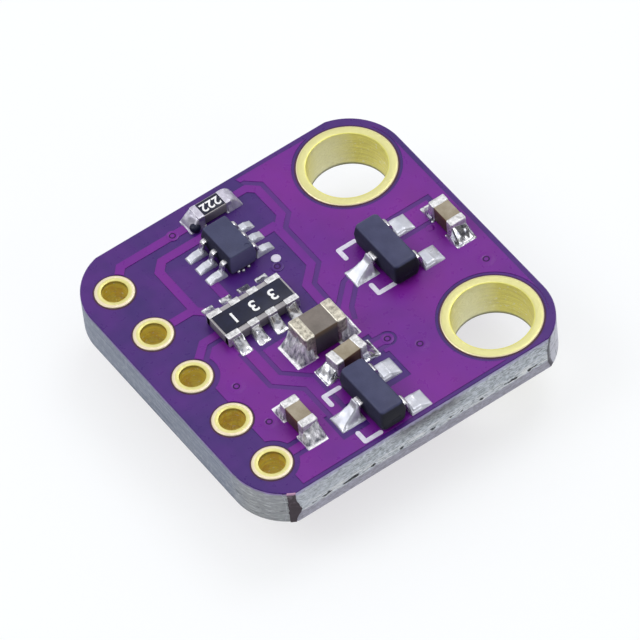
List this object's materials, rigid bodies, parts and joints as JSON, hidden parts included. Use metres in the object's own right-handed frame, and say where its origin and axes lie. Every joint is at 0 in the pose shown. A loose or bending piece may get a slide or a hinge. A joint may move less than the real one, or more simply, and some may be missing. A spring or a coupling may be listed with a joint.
{
  "type": "pulse oximeter sensor module",
  "caption": "Small square circuit board with a row of plated pin holes, a pair of plated screw holes, chip parts on one face and an optical pulse sensor on the other.",
  "frame": {"origin": "middle of the board's outline, on the plane of the optical sensor's window that the module lies on", "axes": "+Z out of the face that carries the chip parts, +X along the row of pin holes, +Y from that row towards the screw holes"},
  "size_m": [0.0138, 0.014, 0.0046],
  "materials": {
    "board": "glossy purple solder mask over glass-epoxy laminate",
    "gold": "thin gold over plated copper",
    "moulding": "fine matt moulded epoxy",
    "leads": "tin-plated copper strip",
    "terminals": "tin-plated end metal",
    "solder": "bright reflowed solder",
    "glaze": "black overglaze",
    "resistor_ceramic": "white alumina",
    "capacitor_ceramic": "tan fired ceramic",
    "large_capacitor_ceramic": "grey-brown fired ceramic",
    "sensor_shell": "opaque black moulding",
    "sensor_laminate": "thin package laminate",
    "sensor_glass": "clear cover glass",
    "silicon": "polished silicon die",
    "emitter": "bare light-emitting die"
  },
  "bodies": {
    "root": {"chip_resistor_body": "resistor_ceramic", "chip_resistor_glaze": "glaze", "chip_resistor_solder": "solder", "chip_resistor_terminals": "terminals", "corner_capacitor_body": "capacitor_ceramic", "corner_capacitor_solder": "solder", "corner_capacitor_terminals": "terminals", "dual_transistor_body": "moulding", "dual_transistor_leads": "leads", "dual_transistor_solder": "solder", "header_hole_plating_1": "gold", "header_hole_plating_2": "gold", "header_hole_plating_3": "gold", "header_hole_plating_4": "gold", "header_hole_plating_5": "gold", "large_capacitor_body": "large_capacitor_ceramic", "large_capacitor_solder": "solder", "large_capacitor_terminals": "terminals", "mounting_hole_plating_1": "gold", "mounting_hole_plating_2": "gold", "printed_circuit_board": "board", "resistor_array_body": "resistor_ceramic", "resistor_array_glaze": "glaze", "resistor_array_solder": "solder", "resistor_array_terminals": "terminals", "sensor_base": "sensor_laminate", "sensor_detector": "silicon", "sensor_housing": "sensor_shell", "sensor_infrared_emitter": "emitter", "sensor_red_emitter": "emitter", "sensor_solder": "solder", "sensor_window": "sensor_glass", "side_capacitor_body": "capacitor_ceramic", "side_capacitor_solder": "solder", "side_capacitor_terminals": "terminals", "side_regulator_body": "moulding", "side_regulator_leads": "leads", "side_regulator_solder": "solder", "top_capacitor_body": "capacitor_ceramic", "top_capacitor_solder": "solder", "top_capacitor_terminals": "terminals", "top_regulator_body": "moulding", "top_regulator_leads": "leads", "top_regulator_solder": "solder"}
  },
  "joints": []
}
